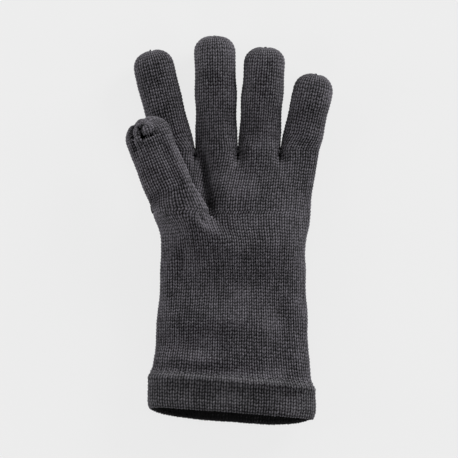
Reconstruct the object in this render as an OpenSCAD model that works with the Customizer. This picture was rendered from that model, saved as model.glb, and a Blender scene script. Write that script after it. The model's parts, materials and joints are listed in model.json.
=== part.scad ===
// Knitted left-hand glove with a long gauntlet cuff, lying on its back with the palm up.
// +X runs towards the little finger, +Y towards the fingertips and +Z out of the palm.
// Every fabric section is a hollow tube, lofted through flattened oval rings.

/* [Fabric] */
// Thickness of the single knitted layer
wall = 1.8; // [1.4:0.1:2]
// Thickness of each layer of the turned hem
hem_wall = 1.8; // [1.4:0.1:2]
// Diameter of the closing and linking yarn
yarn_d = 1.0; // [0.6:0.1:1.1]

/* [Hand] */
// Height of the hand section at the finger roots
hand_h = 18.5; // [18:0.5:19]
// Place of the finger roots along the hand
root_y = 50; // [49:0.5:52]
// Place of the wrist crease
wrist_y = -42; // [-45:1:-40]
// Length of the stretch that bends at the wrist
wrist_len = 16; // [14:1:18]

/* [Gauntlet and hem] */
// Place of the hem's upper edge
hem_top_y = -105.5; // [-108:0.5:-104]
// Height of the turned hem
hem_h = 26; // [22:0.5:30]
// Width across the hem
hem_w = 114; // [113:0.5:116]
// Thickness of the cuff, from palm side to back
cuff_h = 27; // [26.5:0.5:29]
// Tilt of the hem line, lower on the little finger side
hem_tilt = -4.3; // [-6:0.1:-2]

/* [Fingers] */
// Height of the finger tubes above the surface they lie on
finger_h = 17.5; // [17:0.5:18]
// Furthest a finger root bends towards the palm
root_bend = 65; // [60:5:75]
// Furthest a finger root bends backwards
root_back = 15; // [5:5:15]
// Furthest a middle knuckle bends
knuckle_bend = 85; // [60:5:85]
// Furthest an end knuckle bends
end_bend = 55; // [40:5:55]

/* [Thumb] */
// Height of the thumb tube
thumb_h = 17; // [15.5:0.5:17]
// Height of the thumb's middle line above the surface the glove lies on
thumb_z = 29.2; // [29.2:0.1:31]
// Lean of the thumb away from the fingers
thumb_lean = 23.5; // [22:0.5:24]

/* [Hidden] */
FINGERS = ["index", "middle", "ring", "little"];
SECTIONS = ["root_flex", "base", "knuckle_flex", "middle", "end_flex", "tip", "tip_closure"];

knit = [0.23, 0.23, 0.245];
knit_dark = [0.16, 0.16, 0.17];
finger_sides = 24;
hand_sides = 40;
yarn_sides = 16;
clear = 0.3;

// Each finger: place of its root across the hand, lean towards the thumb in degrees,
// length from root to tip, half width.
finger_data = [
    [-36.5, 13, 71.5, 13.8],
    [-7.7, 1.5, 78, 13.8],
    [21.2, -3.2, 71, 14],
    [49.4, -10.7, 53.5, 13]];
function root_x(f) = finger_data[f][0];
function lean(f) = finger_data[f][1];
function length_of(f) = finger_data[f][2];
function half_width(f) = finger_data[f][3];

// Bend lines along a finger as shares of its length, and their height as a share of its height.
root_share = 0.19;
knuckle_share = 0.47;
end_share = 0.72;
pivot_share = 0.6;

/* ---- Rings and lofts ---- */

// A ring: [x, y, z of its middle, half width, half height, lean, slant above, slant below, squareness].
// The slants shift the ring along the tube in proportion to the height over or under the bend line.
function ring(x, y, z, w, h, lean = 0, above = 0, below = 0, square = 2) =
    [x, y, z, w, h, lean, above, below, square];
function power(v, e) = sign(v) * pow(abs(v), e);

// A point of a ring at angle a, moved inwards by t; the lowest points lie flat at height t.
function ring_point(r, a, t) =
    let(across = (r[3] - t) * power(cos(a), 2 / r[8]),
        z = max(r[2] + (r[4] - t) * power(sin(a), 2 / r[8]), t),
        over = z - r[2] - (2 * pivot_share - 1) * r[4],
        along = over > 0 ? r[6] * over : -r[7] * over)
    [r[0] + across * cos(r[5]) - along * sin(r[5]),
     r[1] + across * sin(r[5]) + along * cos(r[5]),
     z];
function row(r, sides, t) = [for (i = [0:sides - 1]) ring_point(r, 360 * i / sides, t)];

// Faces between two rows of points; flip turns them inside out.
function strip(first, second, sides, flip) = [
    for (i = [0:sides - 1])
        let(j = (i + 1) % sides,
            a = first * sides + i, b = first * sides + j,
            c = second * sides + j, d = second * sides + i)
        each flip ? [[a, c, b], [a, d, c]] : [[a, b, c], [a, c, d]]];
function disc(place, sides, flip) = [
    flip ? [for (i = [0:sides - 1]) place * sides + i]
         : [for (i = [sides - 1:-1:0]) place * sides + i]];

// An open tube between outer and inner rows of points.
module tube_of_rows(outer, inner) {
    n = len(outer);
    sides = len(outer[0]);
    polyhedron(
        points = concat([for (r = outer) each r], [for (r = inner) each r]),
        faces = concat(
            [for (k = [0:n - 2]) each strip(k, k + 1, sides, true)],
            [for (k = [n:2 * n - 2]) each strip(k, k + 1, sides, false)],
            strip(0, n, sides, false),
            strip(n - 1, 2 * n - 1, sides, true)));
}
module tube_loft(rings, sides, t)
    tube_of_rows([for (r = rings) row(r, sides, 0)], [for (r = rings) row(r, sides, t)]);

// A tube closed at its far end, where the inner rings stop short of the outer ones.
module closed_loft(outer, inner, sides, t) {
    n = len(outer);
    m = len(inner);
    polyhedron(
        points = concat([for (r = outer) each row(r, sides, 0)], [for (r = inner) each row(r, sides, t)]),
        faces = concat(
            [for (k = [0:n - 2]) each strip(k, k + 1, sides, true)],
            [for (k = [n:n + m - 2]) each strip(k, k + 1, sides, false)],
            strip(0, n, sides, false),
            disc(n - 1, sides, false),
            disc(n + m - 1, sides, true)));
}

/* ---- Hand, wrist and gauntlet ---- */

// Outline of the glove below the fingers: [place along the hand, left edge, right edge, height].
outline = [
    [-108, -52.2, 56, 25.5],
    [-88, -50.5, 54.6, 25],
    [-66, -49.2, 54, 24],
    [-44, -47.1, 53.3, 23],
    [-22, -46.4, 52.6, 21.5],
    [5, -45.4, 56, 20],
    [22, -44.6, 57.6, 19],
    [38, -46.5, 60.2, hand_h],
    [52, -50.3, 62.6, hand_h]];
hand_square = 2.5;
// Depth by which the back of the hand is pressed flat on the surface it lies on.
press = 1.2;
function outline_at(y, k = 0) =
    y >= outline[k + 1][0] && k < len(outline) - 2 ? outline_at(y, k + 1) :
    let(u = (y - outline[k][0]) / (outline[k + 1][0] - outline[k][0]))
    outline[k] * (1 - u) + outline[k + 1] * u;
function hand_ring(y) =
    let(o = outline_at(y))
    ring((o[1] + o[2]) / 2, y, (o[3] - press) / 2, (o[2] - o[1]) / 2, (o[3] + press) / 2,
         square = hand_square);

// A ring of the hem, at a share of its height below the upper edge and moved in by inset.
hem_x = 2.7;
hem_square = 2.4;
inner_inset = hem_wall + clear + press;
function hem_ring(share, inset) =
    ring(hem_x + share * hem_h * sin(hem_tilt), hem_top_y - share * hem_h * cos(hem_tilt),
         (cuff_h - press) / 2, hem_w / 2 - inset, (cuff_h + press) / 2 - inset, hem_tilt,
         square = hem_square);

wrist_low = wrist_y - wrist_len / 2;
wrist_high = wrist_y + wrist_len / 2;

// The hand tube ends at the finger roots and opens into the thumb through a round hole.
thumb_hole = [-27, -14];
thumb_hole_r = 10;
module hand_tube() color(knit) difference() {
    tube_loft([for (y = [wrist_high, -22, -8, 5, 22, 38, root_y]) hand_ring(y)], hand_sides, wall);
    translate([thumb_hole[0], thumb_hole[1], finger_h / 2]) cylinder(r = thumb_hole_r, h = 2 * finger_h);
}

module wrist_flex() color(knit)
    tube_loft([for (y = [wrist_low, wrist_y, wrist_high]) hand_ring(y)], hand_sides, wall);

module gauntlet_tube() color(knit)
    tube_loft(concat([hem_ring(0.04, inner_inset)],
        [for (y = [-98, -88, -77, -66, wrist_low]) hand_ring(y)]), hand_sides, wall);

// The outer layer of the turned hem, with rounded upper and lower edges.
hem_steps = [[1, 1.4], [0.95, 0.4], [0.86, 0], [0.14, 0], [0.05, 0.4], [0, 1.2]];
module hem_band() color(knit_dark)
    tube_loft([for (s = hem_steps) hem_ring(s[0], s[1])], hand_sides, hem_wall);

// The layer turned up inside the hem.
module hem_facing() color(knit_dark)
    tube_loft([for (share = [0.97, 0.5, 0.08]) hem_ring(share, inner_inset)], hand_sides, hem_wall);

// The row of linking stitches just above the hem band, on the palm side.
link_count = 18;
link_len = 4;
link_reach = 0.86;
link_share = -0.04;
link_lift = 0.6;
module hem_linking() color(knit_dark) {
    place = hem_ring(link_share, inner_inset - yarn_d - link_lift);
    for (i = [0:link_count - 1]) {
        share = link_reach * (2 * i / (link_count - 1) - 1);
        a = acos(power(share, hem_square / 2));
        p = ring_point(place, a, 0);
        q = ring_point(place, a - 1, 0);
        rise = atan2(q[2] - p[2], norm([q[0] - p[0], q[1] - p[1]]));
        translate(p) rotate([0, 0, hem_tilt]) rotate([0, 90 - rise, 0])
            cylinder(d = yarn_d, h = link_len, center = true, $fn = yarn_sides);
    }
}

// One yarn across the web at each of the three finger crotches.
module crotch_stitches() color(knit_dark)
    for (f = [0:2]) {
        gap = (root_x(f) + half_width(f) + root_x(f + 1) - half_width(f + 1)) / 2;
        translate([gap, root_y + yarn_d / 2, finger_h / 4])
            cylinder(d = 0.7 * yarn_d, h = finger_h / 2, $fn = yarn_sides);
    }

/* ---- Fingers ---- */

// A ring across a finger at a distance from its root, square to the hand where it starts.
function finger_ring(f, along, scale = 1, above = 0, below = 0) =
    let(turn = min(1, 2 * along / (root_share * length_of(f))))
    ring(root_x(f) - along * sin(lean(f)), root_y + along * cos(lean(f)), finger_h / 2,
         half_width(f) * scale, finger_h / 2 * scale, turn * lean(f), above, below, square = 2.1);

// The fabric is cut back from each bend line by half the bend, with a little to spare.
function slant(angle) = tan(angle / 2) + 0.02;
// The bend by which a knuckle's underside is cut back.
small_back = 2;
function before_bend(f, share, bend, back) =
    finger_ring(f, share * length_of(f) - clear, 1, -slant(bend), -slant(back));
function after_bend(f, share, bend, back) =
    finger_ring(f, share * length_of(f) + clear, 1, slant(bend), slant(back));
function root_start(f) = before_bend(f, root_share, root_bend, root_back);
function root_end(f) = after_bend(f, root_share, root_bend, root_back);
function knuckle_start(f) = before_bend(f, knuckle_share, knuckle_bend, small_back);
function knuckle_end(f) = after_bend(f, knuckle_share, knuckle_bend, small_back);
function end_start(f) = before_bend(f, end_share, end_bend, small_back);
function end_end(f) = after_bend(f, end_share, end_bend, small_back);

// A rounded end: the rings shrink as a quarter of an oval.
tip_steps = 6;
tip_round = 10.5;
tip_turn = 80;
function tip_scale(k) = cos(tip_turn * k / tip_steps);
function tip_reach(k) = sin(90 * k / tip_steps);
closure_r = 1.3;
closure_gap = 0.05;
module closure_at(r) color(knit_dark)
    translate([r[0], r[1], r[2]]) rotate([90, 0, r[5]])
        rotate_extrude($fn = 32) translate([closure_r, 0]) circle(d = yarn_d, $fn = yarn_sides);

module finger_tip(f) color(knit) {
    straight = length_of(f) - tip_round;
    closed_loft(
        concat([end_end(f)], [for (k = [0:tip_steps])
            finger_ring(f, straight + tip_round * tip_reach(k), tip_scale(k))]),
        concat([end_end(f)], [for (k = [0:tip_steps - 1])
            finger_ring(f, straight + (tip_round - wall) * tip_reach(k), tip_scale(k))]),
        finger_sides, wall);
}

module finger_section(f, section) {
    if (section == "root_flex")
        color(knit) tube_loft([finger_ring(f, closure_gap), root_start(f), root_end(f)], finger_sides, wall);
    if (section == "base")
        color(knit) tube_loft([root_end(f), knuckle_start(f)], finger_sides, wall);
    if (section == "knuckle_flex")
        color(knit) tube_loft([knuckle_start(f), knuckle_end(f)], finger_sides, wall);
    if (section == "middle")
        color(knit) tube_loft([knuckle_end(f), end_start(f)], finger_sides, wall);
    if (section == "end_flex")
        color(knit) tube_loft([end_start(f), end_end(f)], finger_sides, wall);
    if (section == "tip") finger_tip(f);
    if (section == "tip_closure") closure_at(finger_ring(f, length_of(f) + yarn_d / 2 + closure_gap));
}

/* ---- Thumb ---- */

// The thumb rises from the front of the hand and lies over the palm. Its sections start at
// these distances along it.
thumb_foot = [-30.5, -0.5];
thumb_starts = [14.5, 26.5, 28, 40, 42, 59.5];
thumb_len = 76;
function thumb_width(along) = 15.6 - 1.4 * min(1, max(0, along) / 30);
function thumb_ring(along, scale = 1) =
    ring(thumb_foot[0] - along * sin(thumb_lean), thumb_foot[1] + along * cos(thumb_lean), thumb_z,
         thumb_width(along) * scale, thumb_h / 2 * scale, thumb_lean, square = 2.1);
module thumb_tube(k) color(knit)
    tube_loft([thumb_ring(thumb_starts[k]), thumb_ring(thumb_starts[k + 1])], finger_sides, wall);

// The height of the front of the hand at a point.
function front_height(x, y) =
    let(r = hand_ring(y))
    r[2] + r[4] * pow(1 - pow(min(1, abs(x - r[0]) / r[3]), hand_square), 1 / hand_square);

// The gusset turns from a foot on the front of the hand into the thumb: its foot lies on the hand
// with the top of the thumb towards the wrist.
gusset_len = 13;
gusset_centre = [-27, -15];
function foot_point(a, t) =
    let(across = (thumb_width(0) - t) * cos(a),
        along = -(gusset_len - t) * sin(a),
        x = gusset_centre[0] + across * cos(thumb_lean) - along * sin(thumb_lean),
        y = gusset_centre[1] + across * sin(thumb_lean) + along * cos(thumb_lean))
    [x, y, front_height(x, y) + clear];
function gusset_row(share, t) = [
    for (i = [0:finger_sides - 1])
        let(a = 360 * i / finger_sides)
        foot_point(a, t) * (1 - share) + ring_point(thumb_ring(thumb_starts[0]), a, t) * share];
module thumb_gusset() color(knit)
    tube_of_rows([for (share = [0, 0.5, 1]) gusset_row(share, 0)],
        [for (share = [0, 0.5, 1]) gusset_row(share, wall)]);

module thumb_tip() color(knit) {
    straight = thumb_len - tip_round;
    first = thumb_ring(thumb_starts[5]);
    closed_loft(
        concat([first], [for (k = [0:tip_steps])
            thumb_ring(straight + tip_round * tip_reach(k), tip_scale(k))]),
        concat([first], [for (k = [0:tip_steps - 1])
            thumb_ring(straight + (tip_round - wall) * tip_reach(k), tip_scale(k))]),
        finger_sides, wall);
}

/* ---- The parts ---- */

hand_tube();
wrist_flex();
gauntlet_tube();
hem_band();
hem_facing();
hem_linking();
crotch_stitches();
thumb_gusset();
thumb_tube(0);  // thumb_root_flex
thumb_tube(1);  // thumb_heel
thumb_tube(2);  // thumb_swing_flex
thumb_tube(3);  // thumb_base
thumb_tube(4);  // thumb_knuckle_flex
thumb_tip();
closure_at(thumb_ring(thumb_len + yarn_d / 2 + closure_gap));  // thumb_tip_closure
for (f = [0:3]) for (s = SECTIONS)
    finger_section(f, s);
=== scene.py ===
"""Looks of a knitted left-hand glove: seamless stockinette tubes drawn up at the tips, with a turned hem.

Lengths are in millimetres until a mesh is made. The glove lies on its back: +X is towards the little
finger, +Y towards the fingertips and +Z out of the palm.
"""
import json
import math

import bpy
import numpy as np
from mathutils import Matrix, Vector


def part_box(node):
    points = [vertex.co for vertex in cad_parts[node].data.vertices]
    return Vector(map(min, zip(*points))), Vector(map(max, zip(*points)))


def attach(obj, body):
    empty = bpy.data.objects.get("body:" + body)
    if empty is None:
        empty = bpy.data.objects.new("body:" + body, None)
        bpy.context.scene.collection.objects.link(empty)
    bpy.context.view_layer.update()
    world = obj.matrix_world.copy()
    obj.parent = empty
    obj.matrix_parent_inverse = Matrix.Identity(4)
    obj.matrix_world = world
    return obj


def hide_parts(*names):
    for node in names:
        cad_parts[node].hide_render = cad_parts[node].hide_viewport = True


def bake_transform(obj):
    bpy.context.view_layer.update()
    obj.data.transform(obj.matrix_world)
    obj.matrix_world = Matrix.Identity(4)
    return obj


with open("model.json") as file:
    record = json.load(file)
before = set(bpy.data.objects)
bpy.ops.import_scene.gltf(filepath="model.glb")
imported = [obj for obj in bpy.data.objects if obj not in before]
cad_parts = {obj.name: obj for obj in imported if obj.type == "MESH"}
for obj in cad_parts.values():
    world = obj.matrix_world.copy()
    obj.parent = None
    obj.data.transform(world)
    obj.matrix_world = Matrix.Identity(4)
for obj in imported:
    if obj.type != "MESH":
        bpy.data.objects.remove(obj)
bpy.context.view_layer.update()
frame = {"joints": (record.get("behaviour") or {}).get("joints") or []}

MM = 0.001

# ---- Gauge of the knit ----
COURSE = 2.24  # height of a course of stitches
ROWS_PER_COURSE = 4  # mesh rows in a course
SUB = 8  # mesh columns in a wale
ROW = COURSE / ROWS_PER_COURSE
RELIEF = 0.85  # how far a yarn stands out of the fabric
FABRIC = 1.6  # thickness of the fabric

# ---- Wales round each tube ----
THUMB_FRONT = 13
PALM_FRONT = 21
BACK = 32
FRONT = THUMB_FRONT + PALM_FRONT
THUMB_UNDER = 10
FINGER_EDGES = (0, 8, 17, 26, FRONT)  # palm side wales at which each finger starts and ends
FINGER_BACK = BACK // 4
SIDE_INNER = 3  # extra wales on each side of a finger between two others
SIDE_OUTER = 4  # extra wales on the inner side of the first and last finger

# ---- Places, from the frame ----
joints = {j["name"]: j for j in frame["joints"]}


def node_box(node):
    """Lowest and highest corners of a CAD node."""
    low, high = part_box(node)
    return np.array(low) / MM, np.array(high) / MM


def joint_place(name):
    """Where a joint is at rest."""
    return np.array(joints[name]["pos_m"]) / MM


WRIST_LOW = node_box("wrist_flex")[0][1]
WRIST_HIGH = node_box("wrist_flex")[1][1]
ROOT_Y = node_box("hand_tube")[1][1]
FINGER_HEIGHT = node_box("middle_base")[1][2]
THUMB_TOP = node_box("thumb_tip")[1][2]
THUMB_BOTTOM = node_box("thumb_tip")[0][2]
SPLIT_Y = 7.0  # where the thumb leaves the palm
CROTCH_X = -12.8  # right side of the thumb there
FINGERS = ("index", "middle", "ring", "little")
HALF_WIDTH = {"index": 13.8, "middle": 14.1, "ring": 14.1, "little": 13.4, "thumb": 15.5}
LONGER = {"index": 0.2, "middle": 2.6, "ring": 1.4, "little": 0.9}  # how far each finger passes its CAD tip
ASIDE = {"index": -1.1, "middle": 0.5, "ring": 0.7, "little": 1.1}  # how far each tip leans to the right

# Outline of the glove below the fingers: place, left edge, right edge, height.
OUTLINE = np.array([
    (-133, -51.5, 56.0, 25.5), (-128, -54.4, 58.8, 26.5), (-118, -54.7, 59.6, 26.5),
    (-109, -53.4, 58.8, 25.6), (-103, -51.0, 56.4, 24.0), (-88, -49.3, 54.6, 23.5),
    (-66, -48.1, 54.0, 22.6), (-44, -46.5, 53.0, 21.2), (-22, -45.7, 52.4, 22.6),
    (-11, -45.4, 53.8, 23.2), (-6, -46.2, 54.6, 23.0), (-0.5, -48.6, 55.6, 22.4),
    (5, -51.2, 56.2, 21.6), (8, -52.4, 56.6, 21.0), (14, -46.6, 57.2, 19.8),
    (22, -45.0, 57.8, 18.0), (36, -46.3, 60.0, 15.7), (50, -50.3, 62.7, 15.2)])
OUTLINE_REACH = 3.0  # how far the outline is averaged, so that it has no corners
SQUARENESS = 2.35  # 2 is an oval, more is squarer
PRESS = 1.2  # how far the back is pressed flat on the surface below
HEM_TILT = math.tan(math.radians(4.3))
HEM_MIDDLE = 2.7
RIDGE_Y = -105.5  # the linked edge of the turned hem
FOLD_Y = -130.2  # the bottom fold of the hem
FRONT_LIFT = -0.2  # how far the palm side of the mouth is drawn up in its middle
BACK_DROP = 5.2  # how far the back of the mouth hangs down in its middle

# Soft folds of the palm side: x, y, reach across, reach along, turn in degrees, height.
FOLDS = (
    (24, -19, 38, 14, 5, 3.5), (57, 0, 11, 30, 0, -2.6), (-15.6, 30, 3.6, 22, 5, -6.0),
    (-12.6, 10, 4.0, 7, 0, -3.0), (-17, 0.5, 1.6, 3.6, 32, -2.6), (-2, 30, 6, 20, 4, 1.6),
    (4, -42, 30, 11, 0, -2.4), (-39.5, -36, 5, 20, -9, 2.8), (-31, -28, 4, 14, -16, -1.2),
    (-2, -68, 25, 11, 0, 3.0), (-31, -80.5, 18, 8, 0, -2.6), (36, -64, 9, 16, 4, -3.7),
    (-21, -95, 24, 5, -3, 2.2), (21, -100, 27, 8, 2, -1.6), (-10, -118, 26, 6, 0, -1.2),
    (56, -52, 8, 34, 0, -2.0), (48, -96, 6, 10, 0, 1.2), (-51, -58, 8, 34, 0, -2.0))


def ease(t):
    """0 below 0, 1 above 1, and a smooth step between."""
    t = np.clip(t, 0.0, 1.0)
    return t * t * (3 - 2 * t)


def outline(y):
    """(left edge, right edge, height) at a place along the glove."""
    places = y + np.linspace(-OUTLINE_REACH, OUTLINE_REACH, 7)
    places = np.clip(places, OUTLINE[0, 0], OUTLINE[-1, 0])
    return [np.mean(np.interp(places, OUTLINE[:, 0], OUTLINE[:, k])) for k in (1, 2, 3)]


def unit(vectors):
    """Vectors brought to length 1."""
    return vectors / np.maximum(np.linalg.norm(vectors, axis=-1, keepdims=True), 1e-9)


def power(value, exponent):
    """A power that keeps the sign of its value."""
    return np.sign(value) * np.abs(value) ** exponent


def lengths_along(curve):
    """Length of a curve from its start to each of its points."""
    steps = np.linalg.norm(np.diff(curve, axis=0), axis=1)
    return np.concatenate([[0.0], np.cumsum(steps)])


def along_curve(curve, shares):
    """Points at shares of a curve's length."""
    length = lengths_along(curve)
    at = np.asarray(shares) * length[-1]
    return np.stack([np.interp(at, length, curve[:, k]) for k in range(curve.shape[1])], axis=1)


def share_at(curve, x):
    """Share of a curve's length at which it reaches x."""
    length = lengths_along(curve)
    order = 1 if curve[-1, 0] > curve[0, 0] else -1
    return np.interp(order * x, order * curve[:, 0], length) / length[-1]


# ---- Sections of the hand ----

CURVE_STEPS = 260
root_lines = {}
for finger in FINGERS:
    base, knuckle = joint_place(finger + "_root"), joint_place(finger + "_knuckle")
    way = unit(knuckle - base)
    root = base - way * (base[1] - ROOT_Y) / way[1]
    end_y = node_box(finger + "_tip")[1][1]
    root_lines[finger] = (root[:2], way[:2], (end_y - ROOT_Y) / way[1] + LONGER[finger])
CROTCHES = [
    (root_lines[a][0][0] + HALF_WIDTH[a] + root_lines[b][0][0] - HALF_WIDTH[b]) / 2
    for a, b in zip(FINGERS[:-1], FINGERS[1:])]
WEB_TOP = 9.0  # height of the palm side at a crotch
WEB_BOTTOM = 6.4  # height of the back at a crotch
CROTCH_REACH = 4.2  # width of the crease at a crotch
CROTCH_FADE = 7.0  # how far it runs down the palm
CROTCH_WIDEN = 16  # how far down the palm the crease is twice as wide
CROTCH_SHARPNESS = 1.25


def crotch_crease(x, y):
    """How much the fabric is drawn in towards a finger crotch, from 0 to 1."""
    nearness = np.exp(-max(0.0, ROOT_Y - y) / CROTCH_FADE)
    reach = CROTCH_REACH * (1 + (ROOT_Y - y) / CROTCH_WIDEN)
    return nearness * sum(np.exp(-(np.abs(x - c) / reach) ** CROTCH_SHARPNESS) for c in CROTCHES)


THUMB_RISE_FROM = -44.0
THUMB_STEEP_FROM = -5.0  # from here the thumb's side over the palm gets steep
THUMB_GROWTH = 2.6  # power of the rise: a higher one keeps the foot of the thumb lower
THUMB_FOOT, THUMB_SLOPE = 30, 3  # how much further right it reaches at its start, and before it is steep
THUMB_DOME, THUMB_DOME_DROP = 1.9, 1.4  # power of the dome across it, and how much less that is where steep


def thumb_rise(x, y):
    """How far the thumb's base lifts the palm side."""
    grown = ease((y - THUMB_RISE_FROM) / (SPLIT_Y - THUMB_RISE_FROM)) ** THUMB_GROWTH
    steep = ease((y - THUMB_STEEP_FROM) / (SPLIT_Y - THUMB_STEEP_FROM))
    left, _, height = outline(y)
    right = CROTCH_X + THUMB_FOOT * (1 - grown) + THUMB_SLOPE * (1 - steep)
    middle, half = (left + right) / 2, (right - left) / 2
    dome = np.cos(math.pi / 2 * np.clip((x - middle) / half, -1, 1))
    return grown * (THUMB_TOP - height) * dome ** (THUMB_DOME - THUMB_DOME_DROP * steep)


CREASE_CLEAR = 0.05  # the outermost points of a section stay out of the crotch creases


def half_section(y, first_turn, last_turn, web):
    """Half of the hand's section: an oval, pressed flat below and drawn in to web at the crotches."""
    left, right, height = outline(y)
    turn = np.linspace(first_turn, last_turn, CURVE_STEPS)
    x = (left + right) / 2 + (right - left) / 2 * power(np.cos(turn), 2 / SQUARENESS)
    z = (height - PRESS) / 2 + (height + PRESS) / 2 * power(np.sin(turn), 2 / SQUARENESS)
    z = np.maximum(z, 0.0)
    z = z + (web - z) * crotch_crease(x, y) * (np.abs(np.sin(turn)) > CREASE_CLEAR)
    return x, z


def front_curve(y, with_thumb=True):
    """The palm side's section, from the left edge to the right one, as x and z."""
    x, z = half_section(y, math.pi, 0, WEB_TOP)
    if with_thumb:
        z = z + thumb_rise(x, y)
    return np.stack([x, z], axis=1)


def back_curve(y):
    """The back's section, from the right edge to the left one, as x and z."""
    return np.stack(half_section(y, 0, -math.pi, WEB_BOTTOM), axis=1)


FRONT_MARKS = np.arange(FRONT * SUB + 1)
BACK_MARKS = np.arange(BACK * SUB + 1)


def spread(marks, at, shares):
    """Shares of a curve for each mark, even between the given ones."""
    return np.interp(marks, np.array(at) * SUB, shares)


def front_points(y, with_thumb=True):
    """The palm side's columns at a place along the glove."""
    curve = front_curve(y, with_thumb)
    split = spread(FRONT_MARKS, (0, THUMB_FRONT, FRONT), (0, share_at(curve, CROTCH_X), 1))
    if y <= SPLIT_Y:
        even = spread(FRONT_MARKS, (0, FRONT), (0, 1))
        w = np.clip((y - THUMB_RISE_FROM) / (SPLIT_Y - THUMB_RISE_FROM), 0, 1) ** 2
        return along_curve(curve, even * (1 - w) + split * w)
    cells = spread(FRONT_MARKS, FINGER_EDGES, [0] + [share_at(curve, c) for c in CROTCHES] + [1])
    w = ease((y - SPLIT_Y) / (ROOT_Y - SPLIT_Y))
    return along_curve(curve, split * (1 - w) + cells * w)


def back_points(y):
    """The back's columns at a place along the glove, without the first of the palm side."""
    curve = back_curve(y)
    even = spread(BACK_MARKS, (0, BACK), (0, 1))
    cells = spread(BACK_MARKS, [FINGER_BACK * k for k in range(5)],
                   [0] + [share_at(curve, c) for c in reversed(CROTCHES)] + [1])
    w = ease((y - SPLIT_Y) / (ROOT_Y - SPLIT_Y))
    return along_curve(curve, even * (1 - w) + cells * w)


def hand_ring(y, with_thumb=True):
    """One ring of the hand: the palm side's columns, then the back's."""
    section = np.concatenate([front_points(y, with_thumb)[:-1], back_points(y)[:-1]])
    return np.stack([section[:, 0], np.full(len(section), y), section[:, 1]], axis=1)


def row_places(start, end):
    """Places of the mesh rows between two places."""
    return np.linspace(start, end, max(2, round(abs(end - start) / ROW) + 1))


def patch(points, u, v, gain=1.0):
    """A grid of fabric: points by row and column, its wales and courses, and how strong its relief is."""
    points = np.array(points)
    rows, columns = points.shape[:2]
    return {"points": points, "u": np.array(u, float), "v": np.array(v, float),
            "gain": np.broadcast_to(np.reshape(gain, (-1, 1)), (rows, columns)).copy()}


# ---- The hand and the cuff ----

def course_at(y):
    """Course of stitches at a place along the glove."""
    return y / COURSE


MOUTH_REACH = 12  # how far above the hem's linked edge the curve of its mouth begins
MOUTH_MIDDLE, MOUTH_HALF = -0.3, 57.0  # middle of the mouth's curve and half its width
MOUTH_LOW, MOUTH_RISE = 4, 16  # from this height, and over this, the back's curve gives way to the front's


def hem_shift(ring, y):
    """How far a ring of the cuff moves along the glove, for the hem's slant and its curved mouth."""
    grown = ease((WRIST_LOW - y) / (WRIST_LOW - RIDGE_Y))
    slant = -HEM_TILT * (ring[:, 0] - HEM_MIDDLE) * grown
    mouth = ease((RIDGE_Y + MOUTH_REACH - y) / (RIDGE_Y + MOUTH_REACH - FOLD_Y))
    across = np.clip(1 - ((ring[:, 0] - MOUTH_MIDDLE) / MOUTH_HALF) ** 4, 0, 1)
    front = ease((ring[:, 2] - MOUTH_LOW) / MOUTH_RISE)
    return slant + mouth * across * (front * FRONT_LIFT - (1 - front) * BACK_DROP)


def cuff_ring(y):
    """One ring of the cuff."""
    ring = hand_ring(y)
    ring[:, 1] += hem_shift(ring, y)
    return ring


def palm_ring(y):
    """One ring of the hand beyond the place where the thumb leaves it."""
    return hand_ring(y, False)


WALES_AROUND = np.arange((FRONT + BACK) * SUB) / SUB
TUBES = (
    ("gauntlet", cuff_ring, RIDGE_Y, WRIST_LOW), ("wrist", hand_ring, WRIST_LOW, WRIST_HIGH),
    ("heel", hand_ring, WRIST_HIGH, SPLIT_Y), ("palm", palm_ring, SPLIT_Y, ROOT_Y))
patches = {}
for name, ring_at, start, end in TUBES:
    rows = row_places(start, end)
    patches[name] = patch([ring_at(y) for y in rows], WALES_AROUND, course_at(rows))

# ---- The turned hem: the outer layer, the bottom fold and the facing inside ----
FOLD_RADIUS = 1.8
FOLD_ROWS = 7
hem_rows = row_places(FOLD_Y + FOLD_RADIUS, RIDGE_Y)
fold_turns = np.linspace(0, math.pi / 2, FOLD_ROWS)


def inward(ring):
    """Unit vectors from a ring into the tube, in the ring's own plane."""
    way = np.roll(ring, -1, axis=0) - np.roll(ring, 1, axis=0)
    flat = np.stack([way[:, 2], np.zeros(len(ring)), -way[:, 0]], axis=1)
    return unit(flat)


def fold_ring(turn, outer):
    """A ring of the bottom fold: turn is 0 at a layer, and a right angle at the lowest edge."""
    ring = cuff_ring(FOLD_Y + FOLD_RADIUS)
    depth = FOLD_RADIUS * (1 - math.cos(turn)) if outer else FOLD_RADIUS * (1 + math.cos(turn))
    ring = ring + inward(ring) * depth
    ring[:, 1] -= FOLD_RADIUS * math.sin(turn)
    return ring


def facing_ring(y):
    """One ring of the layer turned up inside."""
    ring = cuff_ring(y)
    return ring + inward(ring) * 2 * FOLD_RADIUS


FACING_ABOVE = 2  # how far the facing reaches above the linked edge
FACING_SHADE = 0.4  # painted shade: the facing lies in the shade, so its colour is darkened and its stitches show less


def hem_layer(rows, ring_at, outer):
    """The points and courses of one layer of the hem, with its half of the bottom fold."""
    turns = fold_turns[:0:-1]
    points = [fold_ring(t, outer) for t in turns] + [ring_at(y) for y in rows]
    courses = np.concatenate([course_at(rows[0] - turns * FOLD_RADIUS), course_at(rows)])
    return np.array(points), courses


band_points, band_courses = hem_layer(hem_rows, cuff_ring, True)
patches["hem_band"] = patch(band_points, WALES_AROUND, band_courses)
facing_rows = row_places(FOLD_Y + FOLD_RADIUS, RIDGE_Y + FACING_ABOVE)
facing_points, facing_courses = hem_layer(facing_rows, facing_ring, False)
patches["hem_facing"] = patch(facing_points[:, ::-1], WALES_AROUND[::-1], facing_courses)
# painted shade on the facing's colour
patches["hem_facing"]["tone"] = FACING_SHADE


# ---- Fingers ----

OVAL_STEPS = 720
FINGER_SQUARENESS = 2.15


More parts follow.
